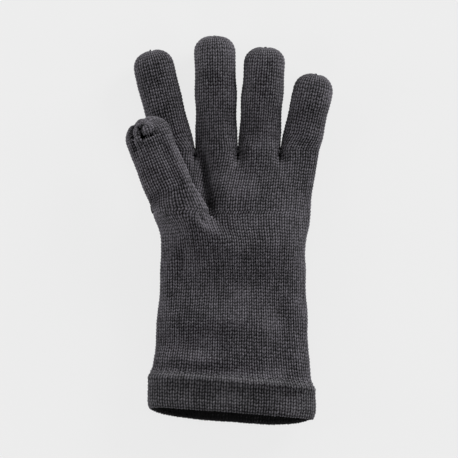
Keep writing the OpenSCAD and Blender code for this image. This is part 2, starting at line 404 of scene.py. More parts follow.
def oval_points(shares, half_width, half_height):
    """Points across and over at shares of the way round an oval, from its left side over its top."""
    turn = np.linspace(math.pi, -math.pi, OVAL_STEPS)
    curve = np.stack([half_width * power(np.cos(turn), 2 / FINGER_SQUARENESS),
                      half_height * power(np.sin(turn), 2 / FINGER_SQUARENESS)], axis=1)
    return along_curve(curve, np.mod(shares, 1.0))


FINGER_LOW = FINGER_HEIGHT - 4.4  # height of a finger at its root
SWELL = {"index": -0.6, "middle": 4.2, "ring": 4.2, "little": 2.6}  # extra height of a finger near its tip
ROOT_MORPH = 13.0  # how far from its root a finger is fully round
TIP_ROUND = 12.3  # length of the rounded tip
TIP_SQUARENESS = 2.2
POLE_RADIUS = 0.075  # size of the drawn-up hole, as a share of the tube's width
TIP_ARC = 1.45  # length of the fabric over a rounded tip, as a share of the tip's length
TIP_TURN = math.pi / 2 * 0.955  # how far a tip's rows turn inwards before they are drawn up
SWELL_REACH = 0.8  # share of a finger's length over which it reaches its full height


def tip_radius(t):
    """Size of a tip's ring, as a share of the tube's."""
    return np.cos(t * TIP_TURN) ** (2 / TIP_SQUARENESS)


def tip_reach(t):
    """How far past the tube a tip's ring lies."""
    return TIP_ROUND * np.sin(t * math.pi / 2) ** (2 / TIP_SQUARENESS)


PLEATS, PLEAT_DEPTH = 7, 0.07  # folds round a drawn-up end, and their depth as a share of the tube's width
NOTCH_DEPTH, NOTCH_WIDTH = 0.9, 3.2  # how the middle of a tip is drawn in
TIP_UNEVENNESS = 0.5  # how far a tip's rings stray along the finger
FINGER_TIP_FADE = 0.75  # how much the relief of the stitches fades towards a drawn-up end


def tube_grid(length, tube_ring, tip_ring, wales, first_y, fade):
    """The grid of a finger or thumb, whose stitches fade towards its drawn-up end."""
    straight = row_places(0, length - TIP_ROUND)
    turns = np.linspace(0, 1, round(TIP_ROUND * TIP_ARC / ROW) + 1)[1:]
    points = [tube_ring(a) for a in straight] + [tip_ring(t) for t in turns]
    places = np.concatenate([straight, length - TIP_ROUND + turns * TIP_ROUND * TIP_ARC])
    gain = np.concatenate([np.ones(len(straight)), 1 - fade * turns ** 2])
    grid = patch(points, wales, course_at(first_y + places), gain)
    grid["places"] = places
    return grid


def finger_columns(k):
    """Columns round a finger: on the palm side, on the back, on its right side, on its left side."""
    front = (FINGER_EDGES[k + 1] - FINGER_EDGES[k]) * SUB
    back = FINGER_BACK * SUB
    right = 0 if k == 3 else (SIDE_OUTER if k == 0 else SIDE_INNER) * SUB
    left = 0 if k == 0 else (SIDE_OUTER if k == 3 else SIDE_INNER) * SUB
    return front, back, right, left


def root_ring(k):
    """The ring where a finger starts: its share of the hand's last ring, and a web at each crotch."""
    whole = palm_ring(ROOT_Y)
    front, back, right, left = finger_columns(k)
    wrap = len(whole)
    back_start = FRONT * SUB + (3 - k) * back
    palm_start = FINGER_EDGES[k] * SUB
    palm_side = whole[palm_start:palm_start + front]
    back_side = whole[back_start:back_start + back]
    corners = [whole[palm_start + front], whole[back_start],
               whole[(back_start + back) % wrap], whole[palm_start]]
    webs = [np.array([a + (b - a) * t for t in np.arange(n) / n]).reshape(-1, 3)
            for a, b, n in ((corners[0], corners[1], right), (corners[2], corners[3], left))]
    return np.concatenate([palm_side, webs[0], back_side, webs[1]])


def first_share(k, front_share):
    """Where a finger's first column lies round its oval, so that its palm side faces up."""
    if k == 0:
        return 0.0
    if k == 3:
        return 0.5 - front_share
    return 0.25 - front_share / 2


def finger_patch(k):
    """The grid of a finger tube, from its root to its drawn-up end."""
    name = FINGERS[k]
    root, way, length = root_lines[name]
    across = np.array([way[1], -way[0]])
    front, back, right, left = finger_columns(k)
    count = front + back + right + left
    shares = first_share(k, front / count) + np.arange(count) / count
    start = root_ring(k)
    half = HALF_WIDTH[name]

    def tube_ring(along, scale=1.0, t=0.0):
        grown = ease(along / (SWELL_REACH * length))
        middle = (FINGER_LOW + (FINGER_HEIGHT + SWELL[name] - FINGER_LOW) * grown) / 2
        oval = oval_points(shares, half * scale, middle * scale)
        turn = np.arctan2(oval[:, 1], oval[:, 0])
        pleat = 1 - PLEAT_DEPTH * t ** 4 * (1 + np.cos(PLEATS * turn + k))
        notch = NOTCH_DEPTH * t ** 3 * np.exp(-(oval[:, 0] / NOTCH_WIDTH) ** 2)
        far = along - notch + TIP_UNEVENNESS * t ** 2 * np.cos(3 * turn + 2 * k)
        over = np.maximum(middle + oval[:, 1] * pleat, 0.0)
        flat = root + np.outer(far, way) + np.outer(oval[:, 0] * pleat, across)
        flat = flat + across * ASIDE[name] * ease(along / length)
        round_ring = np.column_stack([flat, over])
        moved = start + np.array([way[0], way[1], 0]) * along
        rounded = ease(along / ROOT_MORPH)
        return moved * (1 - rounded) + round_ring * rounded

    def tip_ring(t):
        return tube_ring(length - TIP_ROUND + tip_reach(t), max(tip_radius(t), POLE_RADIUS), t)

    wales = np.concatenate([np.arange(n) / SUB for n in (front, right, back, left)])
    return tube_grid(length, tube_ring, tip_ring, wales, ROOT_Y, FINGER_TIP_FADE)


for index, finger in enumerate(FINGERS):
    patches[finger] = finger_patch(index)

# ---- Thumb ----
thumb_way = unit(joint_place("thumb_knuckle") - joint_place("thumb_push"))
thumb_across = np.array([thumb_way[1], -thumb_way[0], 0])
THUMB_MIDDLE = (THUMB_TOP + THUMB_BOTTOM) / 2
THUMB_HALF_HEIGHT = (THUMB_TOP - THUMB_BOTTOM) / 2
thumb_start = joint_place("thumb_push") + thumb_way * (
    (SPLIT_Y - joint_place("thumb_push")[1]) / thumb_way[1])
THUMB_LENGTH = 67.5  # from the palm to the tip
THUMB_MORPH = 17.0
THUMB_ASIDE = 1.2  # how far the thumb lies to the right of its joints
THUMB_TILT = math.radians(58)  # how far the thumb's drawn-up end is turned up out of the palm
THUMB_SHARE = THUMB_FRONT / (THUMB_FRONT + THUMB_UNDER)
BULGE, BULGE_PLACE, BULGE_REACH = 1.8, 24, 15  # the swelling of the thumb's outer side near its base
TUCK, TUCK_TOP = 1.8, 0.3  # how far its lower inner side is drawn in, and up to what share of half its height
THUMB_RIDGES = ((0.62, 0.22, 1.3), (1.15, 0.3, -0.9))  # folds along the thumb: turn, width, height
RIDGE_END, RIDGE_FADE = 6, 14  # how far from the tip they have gone, and over what length they fade
THUMB_PLEATS, THUMB_PLEAT_DEPTH, THUMB_PLEAT_TURN = 6, 0.06, 0.7
SLIT_TURN, SLIT_WIDTH, SLIT_DEPTH = 2.5, 0.33, 0.24  # the deepest fold of the drawn-up end
THUMB_TIP_FADE = 0.7


def thumb_first_ring():
    """The ring where the thumb leaves the hand: over its top, then back along the palm under it."""
    top = hand_ring(SPLIT_Y)[:THUMB_FRONT * SUB]
    curve = front_curve(SPLIT_Y, False)
    under = along_curve(curve, np.linspace(share_at(curve, CROTCH_X), 0, THUMB_UNDER * SUB + 1)[:-1])
    under = np.stack([under[:, 0], np.full(len(under), SPLIT_Y), under[:, 1]], axis=1)
    return np.concatenate([top, under])


def thumb_patch():
    """The grid of the thumb tube, from the palm to its drawn-up end."""
    count = (THUMB_FRONT + THUMB_UNDER) * SUB
    shares = 0.25 - THUMB_SHARE / 2 + np.arange(count) / count
    start = thumb_first_ring()
    half = HALF_WIDTH["thumb"]
    oval = oval_points(shares, 1.0, 1.0)
    turn = np.arctan2(oval[:, 1], oval[:, 0])
    ridge = sum(height * np.exp(-((turn - at) / width) ** 2) for at, width, height in THUMB_RIDGES)
    from_slit = np.mod(turn - SLIT_TURN + math.pi, 2 * math.pi) - math.pi
    slit = SLIT_DEPTH * np.exp(-(from_slit / SLIT_WIDTH) ** 2)

    def place(across, axial, over):
        return (thumb_start * np.array([1, 1, 0]) + np.outer(across + THUMB_ASIDE, thumb_across)
                + np.outer(axial, thumb_way) + np.outer(over, [0, 0, 1]))

    def tube_ring(along):
        section = oval_points(shares, half, THUMB_HALF_HEIGHT)
        fade = ease((THUMB_LENGTH - RIDGE_END - along) / RIDGE_FADE)
        outer_side, inner_side = np.clip(-section[:, 0] / half, 0, 1), np.clip(section[:, 0] / half, 0, 1)
        bulge = BULGE * math.exp(-((along - BULGE_PLACE) / BULGE_REACH) ** 2) * outer_side
        tuck = TUCK * inner_side * np.clip(TUCK_TOP - section[:, 1] / THUMB_HALF_HEIGHT, 0, 1)
        round_ring = place(section[:, 0] - bulge - tuck, np.full(count, along),
                           THUMB_MIDDLE + section[:, 1] + ridge * fade)
        grown = ease(along / THUMB_MORPH)
        return (start + thumb_way * along) * (1 - grown) + round_ring * grown

    def tip_ring(t):
        size = max(np.cos(t * TIP_TURN), POLE_RADIUS)
        axial = math.sqrt(1 - size ** 2)
        lean = THUMB_TILT * t ** 1.5
        flat = unit(oval) * size
        up = flat[:, 1] * math.cos(lean) + axial * math.sin(lean)
        far = axial * math.cos(lean) - flat[:, 1] * math.sin(lean)
        pleat = THUMB_PLEAT_DEPTH * t ** 2 * (1 + np.cos(THUMB_PLEATS * turn + THUMB_PLEAT_TURN))
        depth = 1 - pleat - slit * t ** 1.2 * (1 - t ** 4)
        grow = np.linalg.norm(oval, axis=1) ** (1 - t)
        return place(flat[:, 0] * grow * half * depth, THUMB_LENGTH - TIP_ROUND + far * TIP_ROUND * depth,
                     THUMB_MIDDLE + up * grow * THUMB_HALF_HEIGHT * depth)

    return tube_grid(THUMB_LENGTH, tube_ring, tip_ring, np.arange(count) / SUB, SPLIT_Y, THUMB_TIP_FADE)


patches["thumb"] = thumb_patch()

# Creases and folds of the thumb's drawn-up end: points across and along from the tip, width, depth.
THUMB_CREASES = (
    (((-3.0, -13.6), (-2.2, -7.4)), 1.1, 3.8), (((-3.0, -13.4), (0.6, -14.8), (3.0, -14.8)), 1.1, 2.4),
    (((3.0, -14.8), (6.0, -14.4)), 1.0, 0.8), (((-4.0, -2.5), (-8.0, -5.6), (-9.6, -10.0)), 1.3, 2.8),
    (((-9.6, -10.0), (-10.6, -20.0)), 1.2, 1.7), (((1.2, -10.4), (3.6, -8.6)), 2.6, -2.4),
    (((-6.6, -15.0), (-4.6, -5.5)), 1.7, -1.8), (((-1.0, -17.4), (5.5, -16.8)), 2.2, -0.9))


def stroke_distance(places, line):
    """Distance of places from a broken line."""
    nearest = np.full(places.shape[:-1], np.inf)
    for start, end in zip(line[:-1], line[1:]):
        way = np.subtract(end, start)
        share = np.clip((places - start) @ way / (way @ way), 0, 1)
        away = places - start - share[..., None] * way
        nearest = np.minimum(nearest, np.hypot(away[..., 0], away[..., 1]))
    return nearest


def thumb_creases(points):
    """How far the creases of the thumb's end sink into its upper side."""
    flat = points - thumb_start * np.array([1, 1, 0])
    places = np.stack([flat @ thumb_across, flat @ thumb_way - THUMB_LENGTH], axis=-1)
    return sum(depth * np.exp(-(stroke_distance(places, line) / width) ** 2)
               for line, width, depth in THUMB_CREASES)


# ---- Folds, normals and stitches ----

DIMPLES = tuple((c + 0.5, ROOT_Y - 4, 3.6, 5.5, 0, -2.4) for c in CROTCHES)  # below the crotches, as FOLDS


def fold_height(x, y):
    """Height of the soft folds of the palm side."""
    total = np.zeros(x.shape)
    for fx, fy, wide, long, turn, height in FOLDS + DIMPLES:
        c, s = math.cos(math.radians(turn)), math.sin(math.radians(turn))
        across = ((x - fx) * c + (y - fy) * s) / wide
        along = (-(x - fx) * s + (y - fy) * c) / long
        total += height * np.exp(-across ** 2 - along ** 2)
    return total


RIPPLE = 0.28


def ripple(p):
    """Small slow waves in the fabric, a few centimetres long and out of step with each other."""
    x, y, z = p[..., 0], p[..., 1], p[..., 2]
    return RIPPLE * (np.sin(x / 6.1 + 1.3 * np.sin(y / 13.7)) * np.cos(y / 8.3 + x / 21.0 + z / 7.0)
                     + 0.7 * np.sin(y / 4.9 + 0.8 * np.sin(x / 9.1) + z / 5.0))


def grid_normals(points):
    """Outward normals of a grid that closes on itself across its columns."""
    across = np.roll(points, -1, axis=1) - np.roll(points, 1, axis=1)
    along = np.gradient(points, axis=0)
    return unit(np.cross(across, along))


LEG_START, LEG_SPAN = 0.06, 0.87  # the part of a half wave that rounds a leg across its half of a wale
LEG_FULLNESS, LOOP_FULLNESS = 0.85, 0.9  # powers below 1 make the yarn's rounding fuller
LEG_CLIMB = 0.62  # courses that a leg climbs from the middle of its wale to the edge
LOOP_FLOOR = 0.3  # height of a leg where one loop passes into the next
GAP_WIDTH, GAP_PLACE, GAP_DEPTH = 0.25, 0.1, 0.5  # hole between wales: share of half a wale, of a course


def knit(u, v):
    """Height of stockinette stitches from 0 to 1: two leaning legs to a wale, one pair to a course."""
    from_middle = np.abs(np.mod(u, 1.0) - 0.5) * 2
    leg = np.sin(math.pi * (LEG_START + LEG_SPAN * from_middle)) ** LEG_FULLNESS
    loop = np.abs(np.sin(math.pi * (v - LEG_CLIMB * from_middle))) ** LOOP_FULLNESS
    between = np.exp(-((1 - from_middle) / GAP_WIDTH) ** 2)
    gap = GAP_DEPTH * between * (0.5 + 0.5 * np.cos(2 * math.pi * (v - GAP_PLACE)))
    return np.clip(leg * (LOOP_FLOOR + (1 - LOOP_FLOOR) * loop) * (1 - gap), 0, 1)


def scatter(a, b):
    """An even spread of values from 0 to 1 that look random, one for each pair of whole numbers."""
    return np.mod(np.sin(a * 12.9898 + b * 78.233) * 43758.5453, 1.0)


WANDER_WALES = 0.06
WANDER_COURSES = 0.2


def wander(p):
    """How far the wales and courses stray from their even places."""
    x, y, z = p[..., 0], p[..., 1], p[..., 2]
    aside = np.sin(x / 4.3 + 1.7 * np.sin(y / 6.1) + z / 5) * np.cos(y / 5.2 + z / 3.7 + x / 17)
    along = np.sin(y / 3.9 + 1.4 * np.sin(x / 5.3) + z / 4) * np.cos(x / 4.7 - y / 23)
    return WANDER_WALES * aside, WANDER_COURSES * along


WIDE_WALE = 3.0  # a wale this wide has its full relief
WALE_RELIEF_MOST = 1.1


def wale_width(points):
    """Width of the wales of a grid."""
    return np.linalg.norm(np.roll(points, -1, axis=1) - points, axis=2) * SUB


RIDGES = ((RIDGE_Y - 4.4, 3.0, 2.6), (FOLD_Y + 5.5, 0.8, 0.35))  # place, width, height
RIDGE_AT_SIDES = 0.25  # share of a ridge's height at the sides of the tube


def ridge_height(y, facing):
    """The linked edge of the hem stands up as a ridge, and a row of stitches runs round near its fold."""
    ridges = sum(height * np.exp(-((y - place) / width) ** 2) for place, width, height in RIDGES)
    return ridges * (RIDGE_AT_SIDES + (1 - RIDGE_AT_SIDES) * ease(np.abs(facing)))


NAMES = list(patches)
RIPPLE_BELOW = 0.3  # share of the ripple on the side that the glove lies on


def fold_field(name):
    """How far the folds, ripples and ridges move each point of a grid outwards."""
    points = patches[name]["points"]
    if name == "hem_facing":
        return np.zeros(points.shape[:2] + (1,))
    upward = grid_normals(points)[..., 2:]
    field = ripple(points)[..., None] * (RIPPLE_BELOW + (1 - RIPPLE_BELOW) * np.clip(upward + 1, 0, 1))
    if name != "thumb":
        field += fold_height(points[..., 0], points[..., 1])[..., None] * np.clip(upward, 0, 1)
    if name in ("gauntlet", "hem_band"):
        field += ridge_height((patches[name]["v"] * COURSE)[:, None, None], upward)
    return field


places = np.concatenate([patches[name]["points"].reshape(-1, 3) for name in NAMES])
place_numbers = np.unique(np.round(places * 1000).astype(np.int64), axis=0, return_inverse=True)[1].ravel()


def share(fields):
    """Makes the values of all grids agree where grids meet: each becomes the mean at its place."""
    every = np.concatenate([f.reshape(-1, f.shape[2]) for f in fields])
    count = np.bincount(place_numbers)
    means = np.stack([np.bincount(place_numbers, column) / count for column in every.T], axis=1)
    ends = np.cumsum([f.shape[0] * f.shape[1] for f in fields])[:-1]
    parts = np.split(means[place_numbers], ends)
    return {name: part.reshape(f.shape) for name, part, f in zip(NAMES, parts, fields)}


def shared_normals():
    """Normals of all grids, the same on both sides of an edge that they share."""
    mean = share([grid_normals(patches[name]["points"]) for name in NAMES])
    return {name: unit(mean[name]) for name in NAMES}


def move_out(grid, normal, distance):
    """Moves a grid along its normals, but never below the surface it lies on."""
    moved = grid["points"] + normal * distance
    moved[..., 2] = np.maximum(moved[..., 2], 0.0)
    return moved


normals = shared_normals()
folds = share([fold_field(name) for name in NAMES])
for name in NAMES:
    patches[name]["points"] = move_out(patches[name], normals[name], folds[name])
normals = shared_normals()
THUMB_ROOT_FABRIC = 0.12  # thickness where the thumb leaves the hand, as a share of the fabric's
CREASE_BLEND = 4  # height over which the creases begin, about the middle of the thumb


def add_inside(name):
    """Gives a grid its inner side, and sinks the creases of the thumb."""
    grid = patches[name]
    thickness = np.full(grid["points"].shape[:2] + (1,), FABRIC)
    crease = np.zeros(thickness.shape)
    if name == "thumb":
        upper = ease((grid["points"][..., 2:] - THUMB_MIDDLE) / CREASE_BLEND + 0.5)
        crease = thumb_creases(grid["points"])[..., None] * upper
        opened = ease(grid["places"] / THUMB_MORPH)[:, None, None]
        thickness = FABRIC * (THUMB_ROOT_FABRIC + (1 - THUMB_ROOT_FABRIC) * opened) + np.maximum(crease, 0)
    grid["inner"] = move_out(grid, normals[name], -thickness)
    grid["inner"][..., 2] = np.maximum(grid["inner"][..., 2], FABRIC)
    grid["points"] = move_out(grid, normals[name], -crease)


for name in NAMES:
    add_inside(name)
normals = shared_normals()
DARKEST_LEG = 0.72  # a stitch's two legs vary in height between this and 1


def add_stitches(name):
    """Gives a grid its pattern of stitches, and returns the height of their relief."""
    grid = patches[name]
    u, v = np.meshgrid(grid["u"], grid["v"])
    width = wale_width(grid["points"])
    aside, along = wander(grid["points"])
    legs = scatter(np.floor(u + aside) + 0.5 * np.floor(2 * (u + aside)), np.floor(v + along))
    grid["knit"] = knit(u + aside, v + along) * (DARKEST_LEG + (1 - DARKEST_LEG) * legs)
    relief = RELIEF * grid["gain"] * np.clip(width / WIDE_WALE, 0, WALE_RELIEF_MOST)
    return (relief * (grid["knit"] - 0.5))[..., None]


heights = share([add_stitches(name) for name in NAMES])
for name in NAMES:
    patches[name]["shown"] = move_out(patches[name], normals[name], heights[name])


# ---- Meshes ----

def new_mesh(name, points, quads):
    """A smooth mesh of quads, from points in millimetres."""
    mesh = bpy.data.meshes.new(name)
    mesh.vertices.add(len(points))
    mesh.vertices.foreach_set("co", (np.asarray(points) * MM).ravel())
    mesh.loops.add(quads.size)
    mesh.loops.foreach_set("vertex_index", quads.ravel())
    mesh.polygons.add(len(quads))
    mesh.polygons.foreach_set("loop_start", np.arange(0, quads.size, 4))
    mesh.polygons.foreach_set("use_smooth", np.ones(len(quads), bool))
    mesh.update(calc_edges=True)
    return mesh


def add_object(name, data):
    """Puts an object in the scene."""
    made = bpy.data.objects.new(name, data)
    bpy.context.collection.objects.link(made)
    return made


def sharpen(mesh, marked):
    """Makes the edges between marked points sharp."""
    ends = np.empty(len(mesh.edges) * 2, np.int32)
    mesh.edges.foreach_get("vertices", ends)
    ends = ends.reshape(-1, 2)
    mesh.edges.foreach_set("use_edge_sharp", marked[ends[:, 0]] & marked[ends[:, 1]])


def ring_quads(rows, columns, first, flip):
    """Quads between the rows of a grid that closes on itself across its columns."""
    r, c = np.meshgrid(np.arange(rows - 1), np.arange(columns), indexing="ij")
    nxt = (c + 1) % columns
    here, above = r * columns, (r + 1) * columns
    corners = np.stack([here + c, here + nxt, above + nxt, above + c], axis=-1)
    quads = corners.reshape(-1, 4) + first
    return quads[:, ::-1] if flip else quads


def rim_quads(outer_row, inner_row, flip):
    """Quads over the cut edge between a tube's outer side and its inner one."""
    nxt_outer, nxt_inner = np.roll(outer_row, -1), np.roll(inner_row, -1)
    quads = np.stack([outer_row, inner_row, nxt_inner, nxt_outer], axis=1)
    return quads[:, ::-1] if flip else quads


def cap_quads(row, centre, flip):
    """Closes a ring with quads to a centre point."""
    quads = np.stack([row[0::2], row[1::2], np.roll(row[0::2], -1), np.full(len(row) // 2, centre)], axis=1)
    return quads[:, ::-1] if flip else quads


def fabric_piece(name, grid, first, last, capped=False):
    """A closed solid of knitted fabric from rows first to last of a grid."""
    shown = grid["shown"][first:last + 1]
    rows, columns = shown.shape[:2]
    inner_rows = np.unique(np.append(np.arange(0, rows, ROWS_PER_COURSE), rows - 1))
    inner = grid["inner"][first:last + 1][inner_rows]
    points = [shown.reshape(-1, 3), inner.reshape(-1, 3)]
    base = rows * columns
    inner_last = base + (len(inner_rows) - 1) * columns
    ring = np.arange(columns)
    quads = [ring_quads(rows, columns, 0, False), ring_quads(len(inner_rows), columns, base, True),
             rim_quads(ring, base + ring, False)]
    if capped:
        outer_centre, inner_centre = base + inner.size // 3, base + inner.size // 3 + 1
        points += [shown[-1].mean(axis=0)[None], inner[-1].mean(axis=0)[None]]
        quads += [cap_quads(ring + base - columns, outer_centre, False),
                  cap_quads(inner_last + ring, inner_centre, True)]
    else:
        quads.append(rim_quads(base - columns + ring, inner_last + ring, True))
    quads = np.concatenate(quads)
    points = np.concatenate(points)
    mesh = new_mesh(name, points, quads)
    marked = np.zeros(len(points), bool)
    marked[:columns] = True
    marked[base:base + columns] = True
    if not capped:
        marked[base - columns:base] = True
        marked[inner_last:inner_last + columns] = True
    sharpen(mesh, marked)
    paint(mesh, grid, first, last, inner_rows, len(points))
    return add_object(name, mesh)


INSIDE_SHADE = 0.05  # painted shade: the inside of the fabric shows no stitches and lies in the dark, so its colour is darkened


def store_knit(mesh, level, u, v):
    """Stores the height of the knit on a mesh, which the material paints as shade where it is low, and its
    map.
    """
    mesh.attributes.new("knit", "FLOAT", "POINT").data.foreach_set("value", level)
    loops = np.empty(len(mesh.loops), np.int32)
    mesh.loops.foreach_get("vertex_index", loops)
    places = np.stack([u, v], axis=1)[loops]
    mesh.uv_layers.new(name="knit_map").data.foreach_set("uv", places.ravel())


def paint(mesh, grid, first, last, inner_rows, count):
    """Stores a grid's stitches on its mesh, whose last points are the inner ones."""
    # the tone darkens the facing's colour as painted shade
    knit_map = grid["knit"][first:last + 1] * grid.get("tone", 1.0)
    # painted shade: the inner side takes a value near the ramp's dark end
    inner_shade = np.full(count - knit_map.size, INSIDE_SHADE)
    u, v = np.meshgrid(grid["u"], grid["v"][first:last + 1])
    inner_u, inner_v = u[inner_rows], v[inner_rows]
    spare = np.zeros(count - u.size - inner_u.size)
    store_knit(mesh, np.concatenate([knit_map.ravel(), inner_shade]),
               np.concatenate([u.ravel(), inner_u.ravel(), spare]),
               np.concatenate([v.ravel(), inner_v.ravel(), spare]))


# ---- Materials ----

def math_node(tree, operation, a, b):
    """The outcome of a sum on two sockets or numbers."""
    node = tree.nodes.new("ShaderNodeMath")
    node.operation = operation
    for socket, value in zip(node.inputs, (a, b)):
        if isinstance(value, float):
            socket.default_value = value
        else:
            tree.links.new(value, socket)
    return node.outputs[0]


def noise_node(tree, vector, scale, detail):
    """Noise in a space, from 0 to 1."""
    node = tree.nodes.new("ShaderNodeTexNoise")
    set_inputs(node, {"Scale": scale, "Detail": detail})
    tree.links.new(vector, node.inputs["Vector"])
    return node.outputs["Fac"]


def set_inputs(node, values):
    """Sets a node's own sockets by name."""
    for socket, value in values.items():
        node.inputs[socket].default_value = value


def add_scaled(tree, base, value, scale):
    """A value plus a share of another."""
    return math_node(tree, "ADD", base, math_node(tree, "MULTIPLY", value, scale))


FLECK_SCALE, FLECK_TONE, FLECK_BUMP = 900, 0.5, 0.8  # light and dark fibres in the yarn
CLOUD_SCALE, CLOUD_TONE = 55, 0.35  # slow changes of tone over the glove
FIBRE_SCALE = 9  # in wales and courses
TONE_DROP = 0.5
RAMP_PLACES = (0.2, 0.84)


def knit_material(name, dark, light):
    """Charcoal spun yarn, flecked and lightly haired on top, with painted shade: dark between the stitches.
    """
    material = bpy.data.materials.new(name)
    material.use_nodes = True
    tree = material.node_tree
    shader = tree.nodes["Principled BSDF"]
    set_inputs(shader, {"Roughness": 0.92, "Specular IOR Level": 0.15, "Sheen Weight": 0.16,
                        "Sheen Roughness": 0.45, "Sheen Tint": (0.72, 0.71, 0.75, 1)})
    height = tree.nodes.new("ShaderNodeAttribute")
    height.attribute_name = "knit"
    coordinates = tree.nodes.new("ShaderNodeTexCoord")
    stitches = tree.nodes.new("ShaderNodeUVMap")
    stitches.uv_map = "knit_map"
    fleck = noise_node(tree, coordinates.outputs["Object"], FLECK_SCALE, 3)
    cloud = noise_node(tree, coordinates.outputs["Object"], CLOUD_SCALE, 2)
    fibre = noise_node(tree, stitches.outputs["UV"], FIBRE_SCALE, 4)
    level = add_scaled(tree, height.outputs["Fac"], fleck, FLECK_TONE)
    level = add_scaled(tree, level, cloud, CLOUD_TONE)
    level = math_node(tree, "SUBTRACT", level, TONE_DROP)
    # the ramp paints shade: where the knit is low, between the stitches, the colour runs to the dark end
    ramp = tree.nodes.new("ShaderNodeValToRGB")
    for element, place, colour in zip(ramp.color_ramp.elements, RAMP_PLACES, (dark, light)):
        element.position = place
        element.color = colour
    tree.links.new(level, ramp.inputs["Fac"])
    tree.links.new(ramp.outputs["Color"], shader.inputs["Base Color"])
    bump = tree.nodes.new("ShaderNodeBump")
    set_inputs(bump, {"Strength": 0.45, "Distance": 0.0004})
    tree.links.new(add_scaled(tree, fibre, fleck, FLECK_BUMP), bump.inputs["Height"])
    tree.links.new(bump.outputs["Normal"], shader.inputs["Normal"])
    return material


# painted shade: the colour between the stitches, where shade falls
STITCH_GAP_SHADE = (0.0015, 0.0015, 0.0017, 1)
hand_knit = knit_material("hand_knit", STITCH_GAP_SHADE, (0.116, 0.109, 0.124, 1))
# painted shade: the hem's yarn is a darker copy of the hand's
hem_knit = knit_material("hem_knit", STITCH_GAP_SHADE, (0.100, 0.096, 0.106, 1))


# ---- Pieces ----

def rows_between(grid, start, end):
    """The rows of a grid nearest to two places along it."""
    places = grid["places"]
    return int(np.abs(places - start).argmin()), int(np.abs(places - end).argmin())


def knitted(name, grid, rows, nodes, capped=False, material=hand_knit, slot="knit"):
    """A knitted piece from some rows of a grid, in place of CAD nodes."""
    piece = fabric_piece(name, grid, rows[0], rows[1], capped)
    piece.data.materials.append(material)
    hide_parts(*nodes)
    return piece


def whole(name, key, nodes, material=hand_knit, slot="knit"):
    """A knitted piece from a whole grid."""
    grid = patches[key]
    return knitted(name, grid, (0, len(grid["points"]) - 1), nodes, False, material, slot)


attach(whole("gauntlet", "gauntlet", ["gauntlet_tube"]), "cuff")
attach(whole("hem_outer", "hem_band", ["hem_band"], hem_knit, "hem_knit"), "cuff")
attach(whole("hem_inner", "hem_facing", ["hem_facing"], hem_knit, "hem_knit"), "cuff")
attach(whole("hand_heel", "heel", ["hand_tube", "thumb_gusset"]), "hand")
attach(whole("hand_palm", "palm", ["hand_tube"]), "hand")
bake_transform(whole("wrist", "wrist", ["wrist_flex"]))


def bend(piece):
    """Bakes a piece's placement into its mesh."""
    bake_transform(piece)


def tube_pieces(name, sections, tip_name, start, way, early=0.0):
    """A finger or thumb: sections cut midway between the joints, then the tip, which is attached to the body
    past the last joint.

    early brings the last joint's cuts apart.
    """
    grid = patches[name]
    pivots = [joint_place(f"{name}_{joint}") for joint, _, _ in sections]
    places = [float(np.dot(p - start, way)) for p in pivots]
    second_cut = (places[1] + places[2]) / 2 - early
    cuts = [0, (places[0] + places[1]) / 2, second_cut, 2 * places[2] - second_cut, grid["places"][-1]]
    body = "hand"
    for k, (joint, next_body, nodes) in enumerate(sections):
        rows = rows_between(grid, cuts[k], cuts[k + 1])
        piece = knitted(f"{name}_{joint}", grid, rows, [f"{name}_{n}" for n in nodes])
        bend(piece)
        body = f"{name}_{next_body}"
    tip = knitted(f"{name}_{tip_name}", grid, rows_between(grid, cuts[3], cuts[4]), [name + "_tip"], True)
    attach(tip, body)


FINGER_SECTIONS = (
    ("root", "base", ("root_flex", "base")), ("knuckle", "middle", ("knuckle_flex", "middle")),
    ("end", "tip", ("end_flex",)))
THUMB_SECTIONS = (
    ("push", "heel", ("root_flex", "heel")), ("swing", "base", ("swing_flex", "base")),
    ("knuckle", "tip", ("knuckle_flex",)))
for finger in FINGERS:
    root, way, _ = root_lines[finger]
    tube_pieces(finger, FINGER_SECTIONS, "fingertip", np.append(root, 0), np.append(way, 0))
tube_pieces("thumb", THUMB_SECTIONS, "end", thumb_start, thumb_way, early=1.0)

# ---- Yarns ----
YARN = 0.42  # radius of a yarn
YARN_SIDES = 12
PLY_TURN = 1.3  # radians of twist in a millimetre
PLY_WAIST, PLY_SWELL = 0.78, 0.32  # the radius between the two plies, and how much more it is over one
END_RADIUS = 0.05
# painted shade: the yarn's colour runs dark where its two plies meet
yarn = knit_material("yarn", (0.004, 0.004, 0.0045, 1), (0.118, 0.113, 0.126, 1))


SLANT = (0.31, 0.17, 0.93)  # along no yarn's start


def path_frames(path):
    """Two unit vectors across a path at each of its points, turned as little as possible along it."""
    ways = unit(np.gradient(path, axis=0))
    side = np.cross(ways[0], SLANT)
    sides = []
    for way in ways:
        side = unit(side - way * np.dot(side, way))
        sides.append(side)
    sides = np.array(sides)
    return sides, np.cross(ways, sides)


